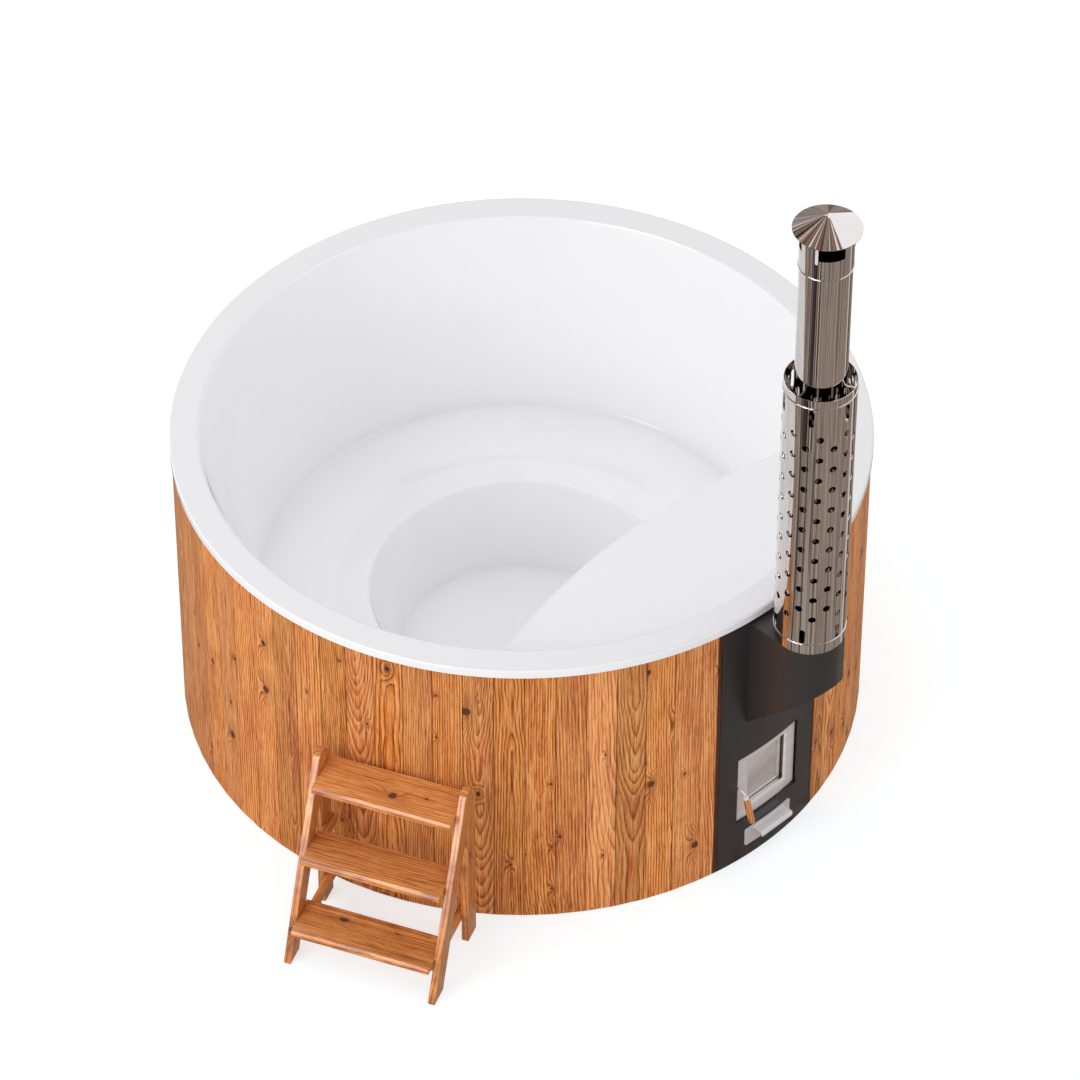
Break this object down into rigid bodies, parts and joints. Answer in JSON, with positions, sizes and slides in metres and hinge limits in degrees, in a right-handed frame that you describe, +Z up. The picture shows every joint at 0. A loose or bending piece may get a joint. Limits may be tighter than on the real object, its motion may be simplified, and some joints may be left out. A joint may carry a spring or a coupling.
{
  "type": "wood-fired hot tub",
  "caption": "Round wooden hot tub with a moulded shell, a built-in wood stove, a perforated chimney guard and free-standing steps.",
  "frame": {"origin": "on the ground, under the tub's centre", "axes": "+Z up, along the chimney; the stove faces -Y, and facing the stove +X is to the right"},
  "size_m": [2.3027, 2.3256, 2.428],
  "materials": {
    "acrylic": "white, glossy",
    "larch": "oiled larch boards",
    "frame_wood": "sawn, unfinished",
    "charcoal": "satin charcoal powder coat",
    "brushed": "brushed stainless steel",
    "polished": "mirror polished stainless steel",
    "iron": "black",
    "rope": "glass fibre rope",
    "stove_glass": "clear heat-proof glass",
    "drain_plastic": "light grey",
    "valve_brass": "plain"
  },
  "bodies": {
    "tub": {"shell_rim": "acrylic", "bathing_wall": "acrylic", "seat_ring": "acrylic", "footwell_pan": "acrylic", "cladding_boards": "larch", "top_ring": "frame_wood", "middle_ring": "frame_wood", "bottom_ring": "frame_wood", "frame_studs": "frame_wood", "base_floor": "frame_wood", "base_joists": "frame_wood", "drain_strainer": "brushed", "drain_elbow": "drain_plastic", "drain_pipe": "drain_plastic", "drain_valve": "valve_brass", "stove_panel": "charcoal", "panel_screws": "charcoal", "stove_body": "brushed", "stove_feet": "iron", "fire_grate": "iron", "water_pipes": "brushed", "port_grilles": "brushed", "drawer_runners": "brushed", "latch_keeper": "brushed", "hinge_brackets": "iron", "chimney_hood": "charcoal", "flue_elbow": "brushed", "flue_pipe": "polished", "chimney_base_ring": "polished", "chimney_guard": "polished", "guard_spacers": "polished", "cap_sleeve": "polished", "cap_cone": "polished", "cap_straps": "polished", "left_stringer": "larch", "right_stringer": "larch", "left_leg": "larch", "right_leg": "larch", "top_tread": "larch", "middle_tread": "larch", "bottom_tread": "larch", "rear_rail": "larch", "tread_cleats": "larch", "step_screws": "brushed"},
    "door": {"door_frame": "brushed", "door_glass": "stove_glass", "glass_retainer": "brushed", "glass_clips": "brushed", "door_gasket": "rope", "hinge_pins": "brushed"},
    "handle": {"handle_spindle": "polished", "latch_cam": "brushed", "handle_rod": "polished", "handle_ferrule": "polished", "handle_grip": "larch"},
    "ash_drawer": {"ash_tray": "brushed", "drawer_plate": "brushed", "drawer_pull": "brushed"},
    "drain_tap": {"drain_ball": "brushed", "drain_lever": "iron"}
  },
  "joints": [
    {"name": "door_swing", "type": "hinge", "parent": "tub", "child": "door", "pos_m": [0.1135, -0.97364, 0.28225], "axis": [0, 0, 1], "range_deg": [0, 95]},
    {"name": "handle_turn", "type": "hinge", "parent": "door", "child": "handle", "pos_m": [-0.113, -0.97, 0.291], "axis": [0, -1, 0], "range_deg": [0, 90]},
    {"name": "ash_drawer_slide", "type": "slide", "parent": "tub", "child": "ash_drawer", "axis": [0, -1, 0], "range_m": [0, 0.3]},
    {"name": "drain_tap_turn", "type": "hinge", "parent": "tub", "child": "drain_tap", "pos_m": [-0.1, 1.0326, 0.031], "axis": [0, 0, 1], "range_deg": [0, 90]}
  ]
}
